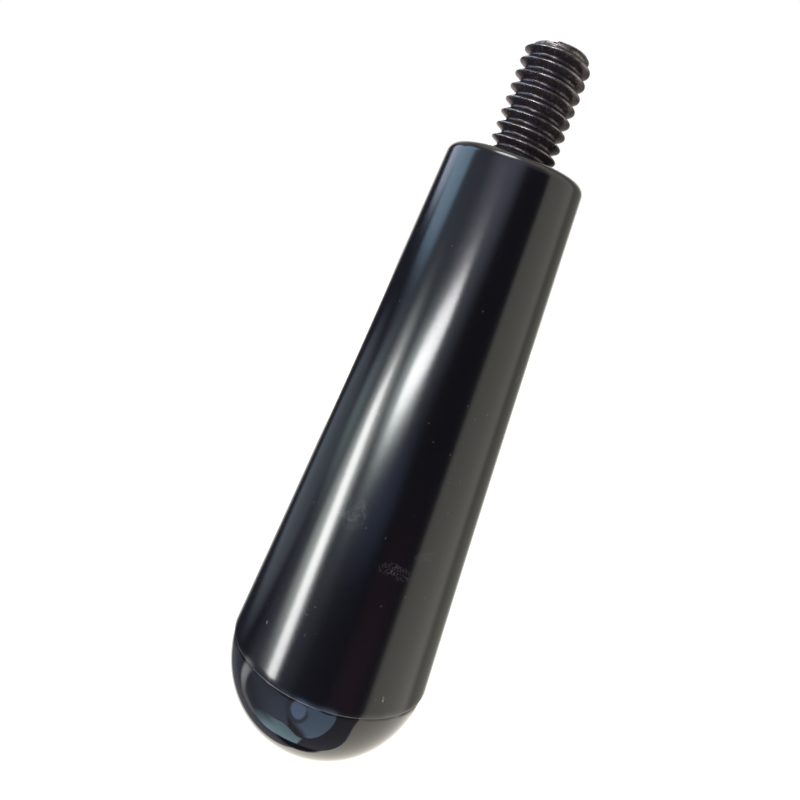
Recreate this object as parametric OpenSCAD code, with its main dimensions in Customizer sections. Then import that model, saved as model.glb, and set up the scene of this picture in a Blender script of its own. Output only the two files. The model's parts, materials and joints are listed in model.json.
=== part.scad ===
// Carriage handle: a one-piece moulded grip with a moulded-in steel stud.
// Millimetres. The origin is the centre of the grip's end face, and +Z runs out along the stud.

/* [Grip] */
// Diameter of the narrow end, before its rim is rounded
neck_d = 15.875; // [14:0.125:19]
// Length of the taper, from the end face to the parting line
taper_len = 63.5; // [40:0.5:90]
// Diameter of the ball end
ball_d = 25.4; // [21:0.1:30]
// How far the taper stands out past the ball at the parting line
parting_step = 0.16; // [0.05:0.01:0.4]
// Straight land between the parting line and the ball
land_h = 0.3; // [0.1:0.05:1.5]
// How far the middle of the taper curves in from a straight line
flare_sag = 0.14; // [0:0.02:0.8]
// Radius of the rim round the end face
rim_r = 1.2; // [0.4:0.1:2]
// Radius of the worn edge at the parting line
parting_edge_r = 0.1; // [0.04:0.01:0.14]

/* [Stud] */
// Diameter over the thread's crests
thread_d = 7.8; // [6:0.1:9]
// Length of stud outside the grip
stud_len = 12.7; // [8:0.1:26]
// Size of the 45 degree chamfer at the stud's tip
tip_chamfer = 0.8; // [0.3:0.1:1.2]
// Threads to the inch
threads_per_inch = 18; // [16:1:24]
// Angle round the stud at which a crest leaves the end face
thread_start = 11; // [0:1:359]

/* [Anchor inside the grip] */
// Diameter of the plain collar that is flush with the end face
collar_d = 9.5; // [9.2:0.1:11]
// Height of the plain collar
collar_h = 1.5; // [0.8:0.1:3]
// Diameter over the knurls
knurl_d = 10; // [9.8:0.1:12]
// Depth of the knurls
knurl_depth = 0.5; // [0.3:0.05:0.8]
// Number of knurls round each band
knurl_count = 24; // [16:1:32]
// Length of each knurled band
band_len = 5; // [3:0.1:8]
// Number of knurled bands
band_count = 2; // [1:1:3]
// Diameter at the bottom of the grooves that stop the stud pulling out
groove_d = 7; // [5:0.1:7.4]
// Width of each groove
groove_w = 1.6; // [0.8:0.1:3]

/* [Hidden] */
$fn = 96;
ball_r = ball_d / 2;
neck_r = neck_d / 2;
edge_r = ball_r + parting_step;
thread_r = thread_d / 2;
// The flare is drawn as this many straight lengths.
flare_steps = 12;
flare_step = taper_len / flare_steps;
// Slopes of the flare's first and last lengths, from the axis
rim_slope = atan((flare_r(flare_step) - neck_r) / flare_step);
edge_slope = atan((edge_r - flare_r(taper_len - flare_step)) / flare_step);
band_pitch = band_len + groove_w;
thread_pitch = 25.4 / threads_per_inch;
root_r = thread_r - 0.61 * thread_pitch;
crest_w = thread_pitch / 8;
flank_angle = 30;
// The helix is drawn as this many straight lengths to the turn.
turn_steps = 16;
// Each length's middle lies this far inside the bar that the stud is cut from, and its ends stand out
chord_inset = 0.006;
// How far the thread's ridge reaches into the core
core_lap = 0.1;
// How far the ball end runs up inside the taper, where the taper is still wider than the ball
parting_lap = parting_step;

// Radius of the taper at a depth below the end face: a straight taper less a shallow bow
function flare_r(depth) =
    let (share = depth / taper_len)
    neck_r + (edge_r - neck_r) * share - 4 * flare_sag * share * (1 - share);

// What a rounded corner loses: the corner lies between a flat end and a slope that leans out by lean.
// side is -1 where the body lies below the flat end, and 1 where it lies above.
module corner_loss(corner, radius, lean, side) {
    centre = corner + radius * [-(1 + side * sin(lean)) / cos(lean), side];
    difference() {
        polygon([
            corner,
            centre - [0, side * radius],
            centre,
            centre + radius * [cos(lean), sin(lean)]
        ]);
        translate(centre) circle(radius);
    }
}

// Half section of the taper, with its rim and its parting edge rounded
module taper_section() {
    difference() {
        polygon(concat(
            [for (i = [0:flare_steps]) [flare_r(i * flare_step), -i * flare_step]],
            [[0, -taper_len], [0, 0]]
        ));
        corner_loss([neck_r, 0], rim_r, rim_slope, -1);
        corner_loss([edge_r, -taper_len], parting_edge_r, edge_slope, 1);
    }
}

// Ball end: a short straight land that starts inside the taper, then half a ball
module ball_end() {
    translate([0, 0, -land_h]) {
        cylinder(r = ball_r, h = land_h + parting_lap);
        difference() {
            sphere(ball_r);
            translate([0, 0, ball_r]) cube(2 * ball_r, center = true);
        }
    }
}

// Straight-knurled band with both ends chamfered, its top at z = 0
module knurled_band() {
    crest_r = knurl_d / 2;
    root_r = crest_r - knurl_depth;
    intersection() {
        translate([0, 0, -band_len]) linear_extrude(band_len) polygon([
            for (i = [0:2 * knurl_count - 1])
                let (angle = i * 180 / knurl_count, r = i % 2 == 0 ? crest_r : root_r)
                [r * cos(angle), r * sin(angle)]
        ]);
        rotate_extrude() polygon([
            [0, 0], [root_r, 0], [crest_r, -knurl_depth],
            [crest_r, knurl_depth - band_len], [root_r, -band_len], [0, -band_len]
        ]);
    }
}

// The stud's hidden end, which also shapes the hole that the moulding leaves round it
module anchor() {
    translate([0, 0, -collar_h]) cylinder(d = collar_d, h = collar_h);
    for (i = [0:band_count - 1]) {
        translate([0, 0, -collar_h - i * band_pitch]) {
            translate([0, 0, -groove_w]) cylinder(d = groove_d, h = groove_w);
            translate([0, 0, -groove_w]) knurled_band();
        }
    }
}

module grip() {
    color([0.11, 0.11, 0.13]) difference() {
        union() {
            rotate_extrude() taper_section();
            translate([0, 0, -taper_len]) ball_end();
        }
        anchor();
    }
}

// Half the width of the thread's ridge at a distance from the axis
function ridge_half(r) = crest_w / 2 + (thread_r - r) * tan(flank_angle);

// The ridge: its section swept up a left-hand helix, from below the end face to past the tip
module thread_ridge() {
    crest = (thread_r - chord_inset) / cos(180 / turn_steps);
    foot = root_r - core_lap;
    // Corners of the section: distance from the axis, and height
    section = [
        [foot - core_lap, -ridge_half(foot)],
        [foot, -ridge_half(foot)],
        [crest, -ridge_half(crest)],
        [crest, ridge_half(crest)],
        [foot, ridge_half(foot)],
        [foot - core_lap, ridge_half(foot)]
    ];
    corners = len(section);
    steps = (ceil(stud_len / thread_pitch) + 2) * turn_steps;
    // The section stands at the middle of each step, so that no corner of it lies in the end face.
    points = [
        for (i = [0:steps], corner = section)
            let (turns = (i + 0.5) / turn_steps, angle = thread_start - 360 * turns)
            [corner[0] * cos(angle), corner[0] * sin(angle), corner[1] + (turns - 1) * thread_pitch]
    ];
    sides = [
        for (i = [0:steps - 1], k = [0:corners - 1])
            let (next = (k + 1) % corners, low = i * corners, high = low + corners)
            [high + k, high + next, low + next, low + k]
    ];
    ends = [
        [for (k = [0:corners - 1]) k],
        [for (k = [corners - 1:-1:0]) steps * corners + k]
    ];
    polyhedron(points, concat(sides, ends), convexity = 10);
}

// Outside the grip the stud is cut from a bar, whose own surface is left on the thread's crests.
module threaded_stud() {
    color([0.36, 0.36, 0.38]) {
        intersection() {
            rotate_extrude() polygon([
                [0, 0], [thread_r, 0], [thread_r, stud_len - tip_chamfer],
                [thread_r - tip_chamfer, stud_len], [0, stud_len]
            ]);
            union() {
                translate([0, 0, -stud_len / 2]) cylinder(r = root_r, h = 2 * stud_len);
                thread_ridge();
            }
        }
        anchor();
    }
}

grip();
threaded_stud();
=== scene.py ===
import json
import math

import bmesh
import bpy
from mathutils import Matrix, Vector


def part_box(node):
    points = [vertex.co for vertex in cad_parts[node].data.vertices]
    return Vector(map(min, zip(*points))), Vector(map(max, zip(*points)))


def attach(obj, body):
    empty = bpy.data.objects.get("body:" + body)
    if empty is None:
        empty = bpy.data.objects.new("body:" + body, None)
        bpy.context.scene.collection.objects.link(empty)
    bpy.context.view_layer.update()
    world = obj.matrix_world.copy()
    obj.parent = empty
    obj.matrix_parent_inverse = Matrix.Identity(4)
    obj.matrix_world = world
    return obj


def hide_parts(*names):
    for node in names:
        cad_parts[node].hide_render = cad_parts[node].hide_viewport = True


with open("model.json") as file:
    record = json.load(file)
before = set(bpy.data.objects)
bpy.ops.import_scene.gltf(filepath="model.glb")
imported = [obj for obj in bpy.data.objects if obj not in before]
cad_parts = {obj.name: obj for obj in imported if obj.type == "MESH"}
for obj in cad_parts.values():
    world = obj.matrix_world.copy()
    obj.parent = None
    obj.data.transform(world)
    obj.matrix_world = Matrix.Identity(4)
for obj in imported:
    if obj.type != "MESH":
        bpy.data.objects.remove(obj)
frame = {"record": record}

mm = 0.001
tau = 2 * math.pi

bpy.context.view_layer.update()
gripLow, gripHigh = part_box("grip")
studLow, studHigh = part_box("threaded_stud")
studMount = next(m for m in frame["record"]["mounts"] if m["name"] == "stud")


# The photo's camera, in millimetres in the part's frame. It stands 85 mm in front of the axis.
camera = {
    "place": (0.0, -84.08, -14.53),
    "right": (0.93356, 0.09762, 0.34486),
    "up": (-0.35654, 0.15466, 0.92139),
    "back": (0.03661, -0.98313, 0.17919),
    "focalPixels": 709.91,
    "picturePixels": 800,
    "sensorWidth": 36.0,
    "clipMetres": (0.01, 20),
}


def makeCamera():
    data = bpy.data.cameras.new("camera")
    data.sensor_width = camera["sensorWidth"]
    data.lens = camera["focalPixels"] / camera["picturePixels"] * camera["sensorWidth"]
    data.clip_start, data.clip_end = camera["clipMetres"]
    eye = bpy.data.objects.new("camera", data)
    turned = Matrix((camera["right"], camera["up"], camera["back"])).transposed()
    eye.matrix_world = Matrix.Translation(Vector(camera["place"]) * mm) @ turned.to_4x4()
    bpy.context.collection.objects.link(eye)
    bpy.context.scene.camera = eye


# A socket that can stand in a sum: each operator adds one Math node
class Wire:
    def __init__(self, graph, socket):
        self.graph = graph
        self.socket = socket

    def __add__(self, other):
        return self.graph.sum("ADD", self, other)

    def __radd__(self, other):
        return self.graph.sum("ADD", other, self)

    def __sub__(self, other):
        return self.graph.sum("SUBTRACT", self, other)

    def __rsub__(self, other):
        return self.graph.sum("SUBTRACT", other, self)

    def __mul__(self, other):
        return self.graph.sum("MULTIPLY", self, other)

    def __rmul__(self, other):
        return self.graph.sum("MULTIPLY", other, self)

    def __truediv__(self, other):
        return self.graph.sum("DIVIDE", self, other)

    def __rtruediv__(self, other):
        return self.graph.sum("DIVIDE", other, self)

    def __pow__(self, other):
        return self.graph.sum("POWER", self, other)

    def __neg__(self):
        return self.graph.sum("MULTIPLY", self, -1)


# The nodes of one material, or of the world
class Graph:
    def __init__(self, owner):
        owner.use_nodes = True
        self.tree = owner.node_tree
        self.tree.nodes.clear()

    # kind is the node's type; its settings go on first, then its sockets get values or links
    def add(self, kind, settings=None, sockets=None, out=0):
        node = self.tree.nodes.new("ShaderNode" + kind)
        for name, value in (settings or {}).items():
            setattr(node, name, value)
        for name, value in (sockets or {}).items():
            if isinstance(value, Wire):
                self.tree.links.new(value.socket, node.inputs[name])
            else:
                node.inputs[name].default_value = value
        return Wire(self, node.outputs[out]) if len(node.outputs) else node

    def sum(self, operation, *values):
        return self.add("Math", {"operation": operation}, dict(enumerate(values)))

    # 0 below place and 1 above it, with a soft edge as wide as blur
    def step(self, value, place, blur):
        ends = {"From Min": place - blur / 2, "From Max": place + blur / 2}
        return self.add("MapRange", {"interpolation_type": "SMOOTHSTEP"}, {"Value": value, **ends})

    # 1 between low and high
    def band(self, value, low, high, blur):
        return self.step(value, low, blur) * (1 - self.step(value, high, blur))

    # The colour sockets of a Mix node are its inputs 6 and 7 and its output 2.
    def mix(self, share, first, second):
        return self.add("Mix", {"data_type": "RGBA"}, {0: share, 6: first, 7: second}, out=2)

    def axis(self, vector, name):
        return self.add("SeparateXYZ", None, {0: vector}, out=name)

    def dot(self, first, second):
        settings = {"operation": "DOT_PRODUCT"}
        return self.add("VectorMath", settings, {0: first, 1: second}, out="Value")

    def noise(self, vector, scale, detail=2.0):
        return self.add("TexNoise", None, {"Vector": vector, "Scale": scale, "Detail": detail})


# What stands round the handle and shows in its polish. A turn is in degrees round the axis, from
# the camera's side towards +X, and a tilt is in degrees above level.
room = {
    # Light, as linear colours
    "shade": (0.035, 0.035, 0.060),
    "deepShade": (0.26, 0.26, 0.31),
    "paper": (1.12, 1.10, 0.98),
    "lowPaper": (1.75, 1.66, 1.48),
    "wall": (0.20, 0.22, 0.27),
    "blueWall": (0.55, 0.67, 0.93),
    "ceiling": (0.40, 0.40, 0.45),
    "zenith": (1.20, 1.12, 1.05),
    "glass": (1.10, 1.50, 2.30),
    "slate": (0.95, 1.30, 1.85),
    "teal": (1.10, 1.60, 1.85),
    "haze": (1.30, 1.35, 1.40),
    "plum": (0.17, 0.08, 0.12),
    # How many times as bright as its colour each of these is
    "shadedPaper": 0.35,
    "leftPaper": 1.15,
    "leftTaperPaper": 0.72,
    "ring": 2.5,
    "brightGlass": 1.2,
    "lowEdge": 0.8,
    "dimTeal": 0.32,
    "stripHaze": 1.5,
    "farFoot": 0.15,
    # Edges: a turn or tilt, and how wide its blur is
    "ballEdge": (-33, 4),
    "ceilingEdge": (25, 14),
    "zenithEdge": (55, 20),
    "paperEdge": (57, 4),
    "paperFoot": (-77, 4),
    "leftPaperEdge": (-150, 6),
    "leftTaperEdge": (-154, 14),
    "leftBrightEdge": (-167, 14),
    "slateEdge": (-66, 14),
    "lowTurnEdge": (8, 14),
    "lowLeftEdge": (-117, 8),
    "dimTurnEdge": (-62, 20),
    "dimTiltEdge": (-68, 14),
    "stripDimEdge": (-45, 16),
    "farTurnEdge": (106, 30),
    "farTiltEdge": (-78, 5),
    # Bands: from one turn or tilt to another, and the blur at both ends
    "plumTurns": (16, 46, 12),
    "plumTilts": (-32, -13, 12),
    "wallTurns": (-122, -26, 5),
    "shadedTurns": (114, 156, 12),
    "lowEdgeTurns": (-48, 16, 8),
    "stripTurns": (-7, 7, 8),
    "stripTilts": (-62, -31, 4),
    # The wall turns blue about this turn, over this width
    "wallFade": (-64, 64),
    # The paper's edges run in below a tilt, by this share of the square of what is below it
    "paperRun": (-37, 0.033),
    "leftRun": (-42, 0.02),
    # How much the slate patch's left edge leans with the turn
    "slateLean": 0.5,
    # The low patch's upper edge, and by how much it falls past a turn, with the blur
    "lowTop": -61.5,
    "lowFalls": ((3, -62, 16), (12.5, -22, 36)),
    "lowBlur": 3,
    "lowEdgeRise": 1.5,
    "lowLeftFrom": -71,
    # The strip's middle, its slope, the tilt it slopes above, and its least share
    "stripTurn": -114,
    "stripSlope": 1.3,
    "stripFrom": -52,
    "stripLeast": 0.20,
}

# The slate patch, the ring in it and the glass in the ring, as oval() takes them
ballOvals = {
    "slate": {"middle": (7, -50), "half": (26, 24), "edge": 0.2, "power": 3},
    "ring": {"middle": (-14, -46), "half": (15, 13), "edge": 0.7},
    "glass": {"middle": (-12, -42), "half": (9.5, 11), "edge": 0.7},
}

# Soft ovals of light that the taper and the stud show: the middle's turn and tilt, half the width
# and height in degrees, how far the edge fades, and the light. Some lean from upright, and some are
# squarish, with a power above 2.
patches = [
    {"middle": (-115, -13), "half": (20, 12), "edge": 0.9, "light": (0.46, 0.55, 0.64)},
    {"middle": (-58, -6), "half": (32, 9), "edge": 1.6, "light": (6.1, 8.0, 8.0)},
    {"middle": (-58, -4), "half": (34, 34), "edge": 1.8, "lean": 23, "light": (0.44, 0.50, 0.64)},
    {"middle": (-62, -10), "half": (13, 13), "edge": 1.6, "lean": 20, "light": (4.9, 5.4, 5.1)},
    {"middle": (-29, -1), "half": (16, 5), "edge": 1.8, "light": (6.9, 8.0, 7.7)},
    {"middle": (-13, 33), "half": (27, 34), "edge": 1.6, "light": (0.90, 0.93, 1.24)},
    {"middle": (-11, -9), "half": (19, 5), "edge": 1.8, "light": (0.30, 0.40, 0.67)},
    {"middle": (-119, 18), "half": (12, 9), "edge": 1.2, "power": 4, "light": (2.1, 2.5, 3.2)},
    {"middle": (-92, 22), "half": (16, 15), "edge": 1.4, "power": 4, "light": (1.9, 2.8, 3.7)},
    {"middle": (-167, -7), "half": (9, 7), "edge": 0.8, "light": (3.2, 3.0, 2.6)},
]


def makeRoom():
    world = bpy.data.worlds.new("room")
    bpy.context.scene.world = world
    g = Graph(world)
    direction = g.add("TexCoord", out="Generated")
    x, y, z = (g.axis(direction, name) for name in "XYZ")
    turn = g.sum("ARCTAN2", x, -y) * (360 / tau)
    tilt = g.sum("ARCSINE", z) * (360 / tau)

    def colour(name, level=1.0):
        return tuple(level * part for part in room[name]) + (1.0,)

    # How far a value lies past one of the room's edges, and within one of its bands
    def past(value, edge):
        return g.step(value, *room[edge])

    def within(value, band):
        return g.band(value, *room[band])

    def oval(middle, half, edge, lean=0, power=2):
        wide, high = turn - middle[0], tilt - middle[1]
        cos, sin = math.cos(math.radians(lean)), math.sin(math.radians(lean))
        across = g.sum("ABSOLUTE", wide * cos + high * sin) / half[0]
        along = g.sum("ABSOLUTE", high * cos - wide * sin) / half[1]
        return 1 - g.step(across**power + along**power, 1, edge)

    # The square of how far the tilt is below a paper edge's start, times that edge's share
    def runIn(name):
        start, share = room[name]
        sinking = g.sum("MAXIMUM", start - tilt, 0)
        return share * sinking * sinking

    below = 1 - past(tilt, "ballEdge")  # what only the ball end shows

    look = g.mix(below, colour("shade"), colour("deepShade"))
    look = g.mix(past(tilt, "ceilingEdge"), look, colour("ceiling"))
    look = g.mix(past(tilt, "zenithEdge"), look, colour("zenith"))
    plum = within(turn, "plumTurns") * within(tilt, "plumTilts")
    look = g.mix(plum, look, colour("plum"))
    wallLook = g.mix(past(turn, "wallFade"), colour("wall"), colour("blueWall"))
    look = g.mix(below * within(turn, "wallTurns"), look, wallLook)

    # The pale paper that the handle lies on, all round its far side, and dimmer where it is shaded
    above = past(tilt, "paperFoot")
    paperLook = g.mix(below, colour("paper"), colour("lowPaper"))
    shaded = within(turn, "shadedTurns") * (1 - below)
    paperLook = g.mix(shaded, paperLook, colour("paper", room["shadedPaper"]))
    look = g.mix(past(turn - runIn("paperRun"), "paperEdge") * above, look, paperLook)
    leftTurn = turn + runIn("leftRun")
    softEdge, sharpEdge = past(leftTurn, "leftTaperEdge"), past(leftTurn, "leftPaperEdge")
    leftEdge = 1 - (softEdge * (1 - below) + sharpEdge * below)
    bright = past(turn, "leftBrightEdge")
    leftLook = g.mix(bright, colour("lowPaper"), colour("paper", room["leftPaper"]))
    leftLook = g.mix(below, colour("paper", room["leftTaperPaper"]), leftLook)
    look = g.mix(leftEdge * above, look, leftLook)

    # Two light patches side by side: the wider one reaches round the other, which has a dark ring
    slanted = past(tilt + room["slateLean"] * turn, "slateEdge")
    look = g.mix(below * oval(**ballOvals["slate"]) * slanted, look, colour("slate"))
    look = g.mix(below * oval(**ballOvals["ring"]), look, colour("wall", room["ring"]))
    look = g.mix(below * oval(**ballOvals["glass"]), look, colour("glass", room["brightGlass"]))

    # The low light patch, whose upper edge dips towards +X, and the dark line along that edge
    top = room["lowTop"]
    for fall, place, blur in room["lowFalls"]:
        top = top - fall * g.step(turn, place, blur)
    line = 1 - g.step(tilt - top, room["lowEdgeRise"], room["lowBlur"])
    look = g.mix(line * within(turn, "lowEdgeTurns"), look, colour("deepShade", room["lowEdge"]))
    low = (1 - g.step(tilt - top, 0, room["lowBlur"])) * (1 - past(turn, "lowTurnEdge"))
    low = low * past(turn - g.sum("MAXIMUM", room["lowLeftFrom"] - tilt, 0), "lowLeftEdge")
    dim = (1 - past(turn, "dimTurnEdge")) * past(tilt, "dimTiltEdge")
    look = g.mix(low, look, g.mix(dim, colour("teal"), colour("teal", room["dimTeal"])))

    # The grey strip at the far left, which slants towards -X as it sinks, and fades
    rise = g.sum("MAXIMUM", tilt - room["stripFrom"], 0)
    strip = within(turn - room["stripTurn"] - room["stripSlope"] * rise, "stripTurns")
    fading = room["stripLeast"] + (1 - room["stripLeast"]) * past(tilt, "stripDimEdge")
    strip = strip * within(tilt, "stripTilts") * fading
    look = g.mix(strip, look, colour("haze", room["stripHaze"]))

    # The far side of the ball's foot is darker still
    far = past(g.sum("ABSOLUTE", turn), "farTurnEdge") * (1 - past(tilt, "farTiltEdge"))
    look = g.mix(far, look, colour("deepShade", room["farFoot"]))

    for spec in patches:
        form = {name: value for name, value in spec.items() if name != "light"}
        look = g.mix(oval(**form), look, spec["light"] + (1.0,))

    seen = g.add("LightPath", out="Is Camera Ray")
    look = g.mix(seen, look, (1.0, 1.0, 1.0, 1.0))
    light = g.add("Background", None, {"Color": look, "Strength": 1.0})
    g.add("OutputWorld", None, {"Surface": light})


# Lamps far from the part, in metres. turn, tilt, wide, high and lean are in degrees, and level is
# how many times brighter than white a lamp is.
lampDistance = 2.0
lamps = {
    "longLamp": {
        "shape": "RECTANGLE",
        "turn": -57.5,
        "tilt": -15.2,
        "wide": 9.4,
        "high": 30,
        "lean": 27,
        "level": 17,
    },
    "shortLamp": {
        "shape": "ELLIPSE",
        "turn": -23.6,
        "tilt": 2.8,
        "wide": 27.5,
        "high": 8.6,
        "lean": 20,
        "level": 22,
    },
    "overLamp": {
        "shape": "ELLIPSE",
        "turn": -34,
        "tilt": 62,
        "wide": 28,
        "high": 19,
        "lean": 0,
        "level": 12,
    },
    "backLamp": {
        "shape": "ELLIPSE",
        "turn": 180,
        "tilt": 4,
        "wide": 8,
        "high": 44,
        "lean": 0,
        "level": 22,
    },
}


def makeLamp(name, spec):
    turn, tilt = math.radians(spec["turn"]), math.radians(spec["tilt"])
    level = math.cos(tilt)
    away = Vector((math.sin(turn) * level, -math.cos(turn) * level, math.sin(tilt)))
    data = bpy.data.lights.new(name, "AREA")
    data.shape = spec["shape"]
    data.size = 2 * lampDistance * math.tan(math.radians(spec["wide"] / 2))
    data.size_y = 2 * lampDistance * math.tan(math.radians(spec["high"] / 2))
    share = math.pi / 4 if data.shape == "ELLIPSE" else 1.0
    data.energy = spec["level"] * math.pi * share * data.size * data.size_y
    lamp = bpy.data.objects.new(name, data)
    side = Vector((0, 0, 1)).cross(away).normalized()
    turned = Matrix((side, away.cross(side), away)).transposed().to_4x4()
    lean = Matrix.Rotation(math.radians(spec["lean"]), 4, "Z")
    middle = Vector((0, 0, (gripLow.z + studHigh.z) / 2))
    lamp.matrix_world = Matrix.Translation(middle + lampDistance * away) @ turned @ lean
    lamp.visible_camera = False
    bpy.context.collection.objects.link(lamp)


# The drop below the ball is in millimetres and the radius in metres. lift is how much of what the
# camera sees is glow and not paint.
floor = {"drop": 40.0, "radius": 4.0, "sides": 96, "grey": 0.8, "lift": 0.75, "glow": 1.15}


# The floor lies clear below the ball end, because the handle hangs from its stud.
def makeFloor():
    mesh = bpy.data.meshes.new("floor")
    shape = bmesh.new()
    sides = floor["sides"]
    bmesh.ops.create_circle(shape, cap_ends=True, segments=sides, radius=floor["radius"])
    shape.to_mesh(mesh)
    shape.free()
    ground = bpy.data.objects.new("floor", mesh)
    ground.location.z = gripLow.z - floor["drop"] * mm
    ground.visible_glossy = False
    bpy.context.collection.objects.link(ground)
    paint = bpy.data.materials.new("floorPaint")
    g = Graph(paint)
    grey = (floor["grey"],) * 3 + (1.0,)
    matt = g.add("BsdfDiffuse", None, {"Color": grey})
    glow = g.add("Emission", None, {"Color": (1.0, 1.0, 1.0, 1.0), "Strength": floor["glow"]})
    share = g.add("LightPath", out="Is Camera Ray") * floor["lift"]
    both = g.add("MixShader", None, {0: share, 1: matt, 2: glow})
    g.add("OutputMaterial", None, {"Surface": both})
    mesh.materials.append(paint)


# Puts a mesh in the scene, smooth but for the edges where it turns by more than sharpAngle.
def makePiece(name, points, faces, material, node, sharpAngle=32):
    mesh = bpy.data.meshes.new(name)
    mesh.from_pydata([Vector(p) * mm for p in points], [], faces)
    mesh.materials.append(material)
    shape = bmesh.new()
    shape.from_mesh(mesh)
    bmesh.ops.recalc_face_normals(shape, faces=shape.faces)
    shape.to_mesh(mesh)
    shape.free()
    mesh.shade_smooth()
    mesh.set_sharp_from_angle(angle=math.radians(sharpAngle))
    piece = bpy.data.objects.new(name, mesh)
    bpy.context.collection.objects.link(piece)
    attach(piece, "root")
    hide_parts(node)
    return piece


def onCircle(radius, angle, z):
    return (radius * math.sin(angle), -radius * math.cos(angle), z)


# The hidden end of the stud, in millimetres
anchor = {
    "collarRadius": 4.75,
    "collarHeight": 1.5,
    "knurlRadius": studHigh.x / mm,
    "knurlDepth": 0.5,
    "knurlCount": 24,
    "bandLength": 5.0,
    "bandCount": 2,
    "grooveRadius": 3.5,
    "grooveWidth": 1.6,
    "chamferRows": 4,
}


# Radius of the straight knurl at an angle: flat sides between crests and roots
def knurlAt(angle):
    crest = anchor["knurlRadius"]
    root = crest - anchor["knurlDepth"]
    half = tau / anchor["knurlCount"] / 2
    past = (angle + tau / 4) % (2 * half)
    if past > half:
        past = 2 * half - past
    return crest * root * math.sin(half) / (crest * math.sin(past) + root * math.sin(half - past))


# Rings of the anchor from the end face down: each is a height and a list of radii
def anchorRings(segments):
    knurl = [knurlAt(tau * i / segments) for i in range(segments)]
    collar, groove, depth = anchor["collarRadius"], anchor["grooveRadius"], anchor["knurlDepth"]
    root = anchor["knurlRadius"] - depth
    rows = anchor["chamferRows"]
    chamfer = [depth * k / rows for k in range(rows + 1)]
    z = -anchor["collarHeight"]
    rings = [(0, [collar] * segments), (z, [collar] * segments)]
    for band in range(anchor["bandCount"]):
        rings.append((z, [groove] * segments))
        z -= anchor["grooveWidth"]
        rings.append((z, [groove] * segments))
        rings += [(z - d, [min(root + d, k) for k in knurl]) for d in chamfer]
        z -= anchor["bandLength"]
        rings += [(z + d, [min(root + d, k) for k in knurl]) for d in reversed(chamfer)]
    return rings


# Joins rings of points, all with the same number of segments, into a skin. A ring is a list of
# places in the list of points, and a single place closes the skin in a fan.
def skin(rings, segments):
    faces = []
    for upper, lower in zip(rings, rings[1:]):
        for i in range(segments):
            k = (i + 1) % segments
            left = [upper[i % len(upper)], lower[i % len(lower)]]
            right = [lower[k % len(lower)], upper[k % len(upper)]]
            corners = list(dict.fromkeys(left + right))
            if len(corners) > 2:
                faces.append(corners)
    return faces


# The moulded grip, in millimetres
grip = {
    "neckRadius": 7.9375,
    "edgeRadius": 12.86,
    "taperLength": 63.5,
    "flareSag": 0.14,
    "rimRadius": 1.2,
    "ballRadius": 12.7,
    "landHeight": 0.3,
    "partingRadius": 0.1,
    "partingWobble": 0.012,
    "wobbleReach": 0.25,
    # Waves round the parting edge: how many to the turn, and where each starts
    "wobbles": ((5, 1), (13, 2), (31, 0)),
    "segments": 288,
    "rimRows": 14,
    "flareRows": 72,
    "partingRows": 5,
    "ballRows": 56,
}


def flareAt(depth):
    share = depth / grip["taperLength"]
    wider = grip["edgeRadius"] - grip["neckRadius"]
    return grip["neckRadius"] + wider * share - 4 * grip["flareSag"] * share * (1 - share)


# The flare's slope from the axis, taken over a millimetre
def flareLean(depth):
    return math.atan2(flareAt(depth + 0.5) - flareAt(depth - 0.5), 1.0)


# Points of an arc that rounds a corner between a flat end and the flare, over the angles given
def roundCorner(corner, radius, lean, side, start, stop, steps):
    middle = (
        corner[0] - radius * (1 + side * math.sin(lean)) / math.cos(lean),
        corner[1] + side * radius,
    )
    for k in range(steps + 1):
        angle = start + (stop - start) * k / steps
        yield middle[0] + radius * math.cos(angle), middle[1] + radius * math.sin(angle)


# The outline from the end face to the ball's pole, as pairs of radius and height
def gripOutline():
    neck, edge, long = grip["neckRadius"], grip["edgeRadius"], grip["taperLength"]
    lean = flareLean(0.5)
    rows = grip["rimRows"]
    rim = list(roundCorner((neck, 0), grip["rimRadius"], lean, -1, tau / 4, lean, rows))
    lean = flareLean(long - 0.5)
    rows = grip["partingRows"]
    worn = list(roundCorner((edge, -long), grip["partingRadius"], lean, 1, lean, -tau / 4, rows))
    start, stop = -rim[-1][1], -worn[0][1]
    rows = grip["flareRows"]
    depths = [start + (stop - start) * k / rows for k in range(1, rows)]
    outline = rim + [(flareAt(d), -d) for d in depths] + worn
    ball, middle = grip["ballRadius"], -long - grip["landHeight"]
    outline += [(ball, -long), (ball, middle)]
    turns = [tau / 4 * k / grip["ballRows"] for k in range(1, grip["ballRows"])]
    outline += [(ball * math.cos(t), middle - ball * math.sin(t)) for t in turns]
    return outline, middle - ball


def makeGrip(material):
    segments = grip["segments"]
    angles = [tau * i / segments for i in range(segments)]
    outline, pole = gripOutline()
    points, rings = [], []

    def addRing(radii, z):
        rings.append(range(len(points), len(points) + segments))
        points.extend(onCircle(r, a, z) for r, a in zip(radii, angles))

    points.append((0, 0, anchorRings(segments)[-1][0]))
    rings.append([0])
    for z, radii in reversed(anchorRings(segments)):
        addRing(radii, z)
    # The parting edge isn't quite even: the mould halves leave it a little wavy.
    wobbles = grip["wobbles"]
    waves = [sum(math.sin(count * a + start) for count, start in wobbles) for a in angles]
    for radius, z in outline:
        near = max(0.0, 1 - abs(z + grip["taperLength"]) / grip["wobbleReach"])
        sway = grip["partingWobble"] / len(wobbles) * near
        addRing([radius + sway * (wave - len(wobbles)) for wave in waves], z)
    rings.append([len(points)])
    points.append((0, 0, pole))
    faces = skin(rings, segments)
    return makePiece("moulded_grip", points, faces, material, "grip")


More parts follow.
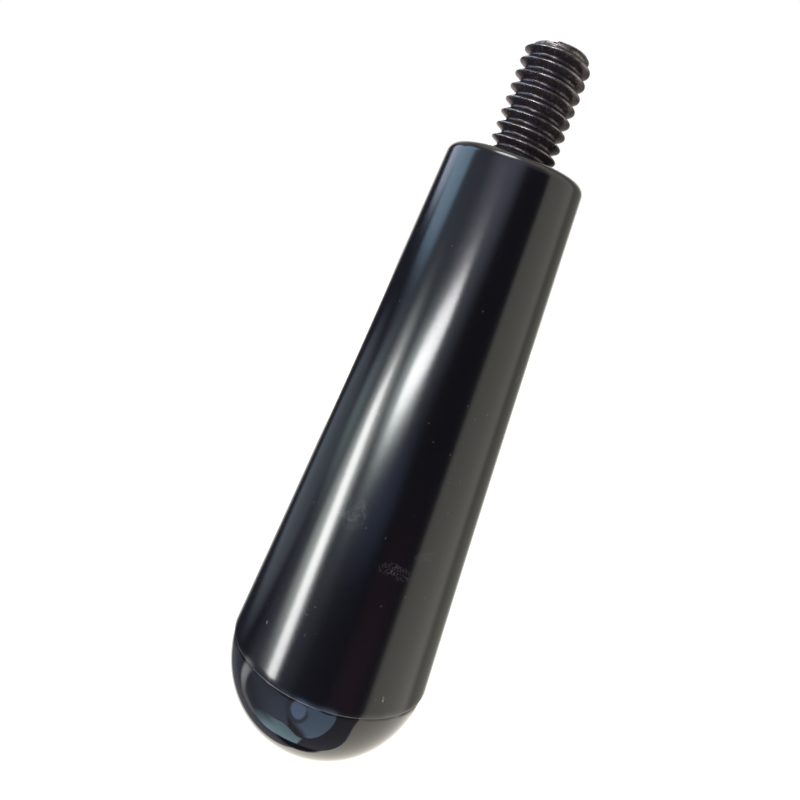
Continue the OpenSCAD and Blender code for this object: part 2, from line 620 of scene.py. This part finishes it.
# The stud, in millimetres. Its thread is left-handed, as the photo shows it.
stud = {
    "crestRadius": studMount["dims"]["r_mm"],
    "tip": studHigh.z / mm,
    "chamfer": 0.8,
    "pitch": 25.4 / 18,
    "depthShare": 0.61,
    "crestShare": 0.095,
    "rootShare": 0.20,
    "softness": 0.022,
    # Where the thread starts, the tip lies lower between two angles. The drop fades in past the
    # first of them, holds to startDepth less startSoft below the tip, and ends at startDepth.
    "startDrop": 0.17,
    "startFrom": -150.0,
    "startTo": -12.0,
    "startFade": 60.0,
    "startDepth": 1.2,
    "startSoft": 0.75,
    "phase": 0.72,
    "hand": -1,
    "segments": 144,
    "rowsPerPitch": 26,
    "spareTurns": 3,
    # A point this near the end face or the tip is one of its ring's
    "nearRing": 1e-4,
}


# How far the thread's surface lies below its crests, at a share of a pitch from the crest's middle
def threadDip(share):
    away = abs((share + 0.5) % 1.0 - 0.5)
    flank = 0.5 - stud["crestShare"] / 2 - stud["rootShare"] / 2
    part = (away - stud["crestShare"] / 2) / flank
    soft = stud["softness"] / flank
    # A soft minimum and maximum round the crest's and the root's corners.
    part = 0.5 * (part + math.sqrt(part * part + soft * soft))
    part = 0.5 * (part + 1 - math.sqrt((part - 1) ** 2 + soft * soft))
    return part * stud["depthShare"] * stud["pitch"]


def studRadius(angle, z):
    share = z / stud["pitch"] - stud["hand"] * angle / tau + stud["phase"]
    chamfered = stud["crestRadius"] - stud["chamfer"] + (stud["tip"] - z)
    return min(stud["crestRadius"] - threadDip(share), chamfered)


# How far the stud's tip lies lower where the thread starts
def startDrop(angle, z):
    degrees = (math.degrees(angle) + 180) % 360 - 180
    if not stud["startFrom"] < degrees < stud["startTo"]:
        return 0.0
    fade = min(1.0, (degrees - stud["startFrom"]) / stud["startFade"])
    near = max(0.0, stud["startDepth"] - (stud["tip"] - z))
    return stud["startDrop"] * fade * min(1.0, near / stud["startSoft"])


def makeStud(material):
    segments, rows, pitch, tip = stud["segments"], stud["rowsPerPitch"], stud["pitch"], stud["tip"]
    angles = [tau * i / segments for i in range(segments)]
    points = []

    def addRing(radii, z):
        first = len(points)
        points.extend(onCircle(r, a, z - startDrop(a, z)) for r, a in zip(radii, angles))
        return range(first, len(points))

    foot = addRing([studRadius(a, 0) for a in angles], 0)
    head = addRing([studRadius(a, tip) for a in angles], tip)
    places = {}

    # The thread's grid winds with the helix, so row r of segment i is row r - rows one turn on.
    def place(i, row):
        turns, i = divmod(i, segments)
        row += stud["hand"] * turns * rows
        z = pitch * (row / rows + stud["hand"] * angles[i] / tau - stud["phase"])
        if z <= stud["nearRing"]:
            return foot[i]
        if z >= tip - stud["nearRing"]:
            return head[i]
        if (i, row) not in places:
            places[i, row] = len(points)
            lower = z - startDrop(angles[i], z)
            points.append(onCircle(studRadius(angles[i], z), angles[i], lower))
        return places[i, row]

    faces = []
    for row in range(-rows, int((tip / pitch + stud["spareTurns"]) * rows)):
        for i in range(segments):
            corners = [place(i, row), place(i + 1, row), place(i + 1, row + 1), place(i, row + 1)]
            corners = list(dict.fromkeys(corners))
            if len(corners) > 2:
                faces.append(corners)
    rings = [addRing(radii, z) for z, radii in anchorRings(segments)]
    last = len(points)
    points += [(0, 0, anchorRings(segments)[-1][0]), (0, 0, tip)]
    faces += skin([foot, *rings, [last]], segments)
    faces += skin([[last + 1], head], segments)
    return makePiece("steel_stud", points, faces, material, "threaded_stud")


# The grip's finish. A scale is a noise's or a cell pattern's, in cells to the metre. An edge is the
# value at which a pattern sets in, and how soft its edge is there.
gripLook = {
    "colour": (0.0028, 0.0026, 0.0036),
    "dust": (0.050, 0.050, 0.060),
    # The parting edge's paler colour: a painted highlight along that edge
    "worn": (0.13, 0.13, 0.14),
    "scratch": (0.42, 0.42, 0.42),
    "refraction": 1.55,
    "taperRough": 0.165,
    "ballRough": 0.03,
    "partingBlur": 0.1,
    "cloudScale": 160,
    "cloudDetail": 3.0,
    "cloudRough": 0.03,
    "ballCloudRough": 0.02,
    "grainScale": 5200,
    "grainRough": 0.08,
    "grainBump": 0.6,
    "rippleScale": 900,
    "bumpStrength": 0.08,
    "bumpHeight": 0.02,
    "ballBump": 0.03,
    # Dust: the cells, the share of them that have none, and the speck's size in a cell
    "speckScale": 900,
    "specklessEdge": (0.80, 0.02),
    "speckEdge": (0.09, 0.06),
    "speckShare": 0.6,
    "ballSpecks": 0.2,
    # The painted highlight along the parting edge, for the line of light its ledge catches: half
    # its height, its blur, and the turns between which it shows
    "seamHighlightHalf": 0.10,
    "seamHighlightBlur": 0.08,
    "seamHighlightTurns": (-75, 24, 30),
    "seamHighlightEdge": (0.45, 0.3),
    "seamHighlightLeast": 0.25,
    "seamHighlightRough": 0.25,
    # The marks' outline, and how the grain breaks them up
    "markEdge": (0.8, 0.6),
    "markBreak": 0.54,
    "markBlur": 0.12,
}


# Marks on the taper: turn in degrees from the camera's side towards +X, depth below the end face
# and half sizes in millimetres, lean in degrees from upright, and how much of the mark shows. A
# mark is broken up by the plastic's grain, unless it has a scale and a blur of its own.
gripMarks = [
    {"turn": 35.8, "depth": 61.0, "wide": 0.14, "high": 0.45, "lean": 20, "share": 0.65},
    {"turn": -41.3, "depth": 57.9, "wide": 0.13, "high": 0.30, "lean": 15, "share": 0.35},
    {"turn": -20.9, "depth": 54.1, "wide": 0.45, "high": 0.05, "lean": -8, "share": 0.30},
    {"turn": -6.8, "depth": 16.2, "wide": 0.12, "high": 0.12, "lean": 0, "share": 0.35},
    {"turn": 13.0, "depth": 45.7, "wide": 1.3, "high": 0.8, "lean": 20, "share": 0.04},
    {"turn": 20.8, "depth": 46.0, "wide": 1.4, "high": 0.9, "lean": -15, "share": 0.045},
    {"turn": 32.0, "depth": 43.6, "wide": 1.6, "high": 0.7, "lean": 10, "share": 0.035},
    {
        "turn": -17.0,
        "depth": 41.4,
        "wide": 1.8,
        "high": 2.1,
        "lean": 8,
        "share": 0.055,
        "grain": 1500,
        "blur": 0.4,
    },
    {"turn": -27.0, "depth": 30.5, "wide": 0.6, "high": 0.06, "lean": -5, "share": 0.25},
    {"turn": 64.0, "depth": 22.0, "wide": 0.10, "high": 0.7, "lean": -25, "share": 0.2},
    {"turn": 118.0, "depth": 38.0, "wide": 0.9, "high": 0.6, "lean": 30, "share": 0.06},
    {"turn": -155.0, "depth": 52.0, "wide": 0.12, "high": 0.8, "lean": 35, "share": 0.5},
    {"turn": 168.0, "depth": 12.0, "wide": 0.5, "high": 0.08, "lean": 5, "share": 0.4},
]


# Where one of the marks covers the plastic, broken up by fine noise
def markMask(g, place, mark):
    turn, lean = math.radians(mark["turn"]), math.radians(mark["lean"])
    middle = Vector(onCircle(flareAt(mark["depth"]), turn, -mark["depth"])) * mm
    side = Vector((math.cos(turn), math.sin(turn), 0))
    up = Vector((0, 0, 1))
    across = side * math.cos(lean) + up * math.sin(lean)
    along = up * math.cos(lean) - side * math.sin(lean)
    fromMiddle = g.add("VectorMath", {"operation": "SUBTRACT"}, {0: place, 1: middle})
    nearness = 0
    for axis, half in ((across, mark["wide"]), (along, mark["high"])):
        nearness = (g.dot(fromMiddle, axis) / (half * mm)) ** 2 + nearness
    outward = g.dot(place, side.cross(up))
    broken = g.noise(place, mark.get("grain", gripLook["grainScale"]))
    broken = g.step(broken, gripLook["markBreak"], mark.get("blur", gripLook["markBlur"]))
    inside = 1 - g.step(nearness, *gripLook["markEdge"])
    return inside * broken * g.step(outward, 0, mm) * mark["share"]


def gripPlastic():
    material = bpy.data.materials.new("blackPlastic")
    g = Graph(material)
    look = gripLook
    place = g.add("TexCoord", out="Object")
    x, y, z = (g.axis(place, name) for name in "XYZ")
    parting = -grip["taperLength"] * mm
    ball = 1 - g.step(z, parting, look["partingBlur"] * mm)

    # Broad cloudy changes of sheen, and a fine grain
    cloud = g.noise(place, look["cloudScale"], look["cloudDetail"])
    grain = g.noise(place, look["grainScale"])
    rough = look["taperRough"] + look["cloudRough"] * (cloud - 0.5)
    rough = rough + look["grainRough"] * (grain - 0.5)
    ballRough = look["ballRough"] + look["ballCloudRough"] * (cloud - 0.5)
    rough = rough * (1 - ball) + ballRough * ball

    # Scattered specks of dust
    cell = {"Vector": place, "Scale": look["speckScale"]}
    cells = g.add("TexVoronoi", None, cell, out="Distance")
    chance = g.add("TexVoronoi", None, cell, out="Color")
    rare = g.step(g.axis(chance, "X"), *look["specklessEdge"])
    speck = 1 - g.step(cells, *look["speckEdge"])
    speck = speck * rare * (1 - ball * (1 - look["ballSpecks"]))
    dusty = speck * look["speckShare"]
    colour = g.mix(dusty, look["colour"] + (1.0,), look["dust"] + (1.0,))
    for mark in gripMarks:
        colour = g.mix(markMask(g, place, mark), colour, look["scratch"] + (1.0,))

    # A paler band along the parting edge, patchy and strongest on the side that the camera sees: a
    # painted highlight for the line of light the parting ledge catches.
    turn = g.sum("ARCTAN2", x, -y) * (360 / tau)
    half = look["seamHighlightHalf"] * mm
    seamHighlight = g.band(z, parting - half, parting + half, look["seamHighlightBlur"] * mm)
    patchy = g.step(g.noise(place, look["rippleScale"]), *look["seamHighlightEdge"])
    patchy = look["seamHighlightLeast"] + (1 - look["seamHighlightLeast"]) * patchy
    seamHighlight = seamHighlight * g.band(turn, *look["seamHighlightTurns"]) * patchy
    colour = g.mix(seamHighlight, colour, look["worn"] + (1.0,))
    rough = rough + look["seamHighlightRough"] * seamHighlight

    height = grain * look["grainBump"] + g.noise(place, look["rippleScale"])
    height = height * (1 - (1 - look["ballBump"]) * ball)
    bump = {"Strength": look["bumpStrength"], "Distance": look["bumpHeight"] * mm}
    shader = g.add(
        "BsdfPrincipled",
        None,
        {
            "Base Color": colour,
            "Roughness": rough,
            "IOR": look["refraction"],
            "Normal": g.add("Bump", None, {**bump, "Height": height}),
        },
    )
    g.add("OutputMaterial", None, {"Surface": shader})
    return material


# The stud's finish, with scales and edges as in the grip's, and depths in millimetres
studLook = {
    "colour": (0.068, 0.058, 0.066),
    # Paler steel where the blacking has gone. It is also a painted highlight on the crests and a
    # painted light band on the tip
    "bareAndGlint": (0.40, 0.37, 0.34),
    "rust": (0.075, 0.045, 0.035),
    "edge": (0.40, 0.38, 0.40),
    "metal": 0.80,
    "rough": 0.30,
    "crestSmooth": 0.03,
    "crestDepth": 0.10,
    "crestBlur": 0.12,
    "crestEdge": (0.42, 0.25),
    # How much paler the crests are: blacking gone, and a painted highlight
    "crestWearAndGlint": 0.4,
    "tipDepth": 0.72,
    "tipBlur": 0.4,
    "tipEdge": (0.40, 0.3),
    # How much paler the tip is: blacking gone, and a painted light band
    "tipWearAndSheen": 0.45,
    "detail": 3.0,
    "grainScale": 3200,
    "grainRough": 0.16,
    "grainEdge": (0.62, 0.2),
    "grainWear": 0.35,
    "cloudScale": 500,
    "cloudRough": 0.10,
    "rustScale": 1300,
    "rustEdge": (0.58, 0.16),
    "rustShare": 0.5,
    "pitScale": 7000,
    "pitBump": 0.5,
    "bumpStrength": 0.45,
    "bumpHeight": 0.03,
}


def studSteel():
    material = bpy.data.materials.new("blackedSteel")
    g = Graph(material)
    look = studLook
    place = g.add("TexCoord", out="Object")
    x, y, z = (g.axis(place, name) for name in "XYZ")
    radius = g.sum("SQRT", x * x + y * y)
    crestFrom = stud["crestRadius"] - look["crestDepth"]
    crest = g.step(radius, crestFrom * mm, look["crestBlur"] * mm)
    tip = g.step(z, (stud["tip"] - look["tipDepth"]) * mm, look["tipBlur"] * mm)
    grain = g.noise(place, look["grainScale"], look["detail"])
    cloud = g.noise(place, look["cloudScale"], look["detail"])
    rough = look["rough"] + look["grainRough"] * (grain - 0.5)
    rough = rough + look["cloudRough"] * (cloud - 0.5) - look["crestSmooth"] * crest

    # The blacking has gone from the crests and the tip, and in places everywhere. The paler crests
    # are also a painted highlight along the crest lines, and the paler tip is also a painted light
    # band on its chamfer.
    wornCrest = crest * g.step(cloud, *look["crestEdge"]) * look["crestWearAndGlint"]
    wornTip = tip * g.step(grain, *look["tipEdge"]) * look["tipWearAndSheen"]
    bareAndGlint = look["bareAndGlint"] + (1.0,)
    colour = g.mix(wornCrest + wornTip, look["colour"] + (1.0,), bareAndGlint)
    colour = g.mix(g.step(grain, *look["grainEdge"]) * look["grainWear"], colour, bareAndGlint)
    rust = g.noise(place, look["rustScale"], look["detail"])
    rust = g.step(rust, *look["rustEdge"])
    colour = g.mix(rust * look["rustShare"], colour, look["rust"] + (1.0,))

    height = grain + look["pitBump"] * g.noise(place, look["pitScale"])
    bump = {"Strength": look["bumpStrength"], "Distance": look["bumpHeight"] * mm}
    shader = g.add(
        "BsdfPrincipled",
        None,
        {
            "Base Color": colour,
            "Metallic": look["metal"],
            "Roughness": rough,
            "Specular Tint": look["edge"] + (1.0,),
            "Normal": g.add("Bump", None, {**bump, "Height": height}),
        },
    )
    g.add("OutputMaterial", None, {"Surface": shader})
    return material


makeCamera()
makeRoom()
for lampName, lampSpec in lamps.items():
    makeLamp(lampName, lampSpec)
makeFloor()
print("camera, room, lamps and floor are in place")

makeGrip(gripPlastic())
print("the grip is made")
makeStud(studSteel())
print("the stud is made")

bpy.context.scene.view_settings.view_transform = "Standard"
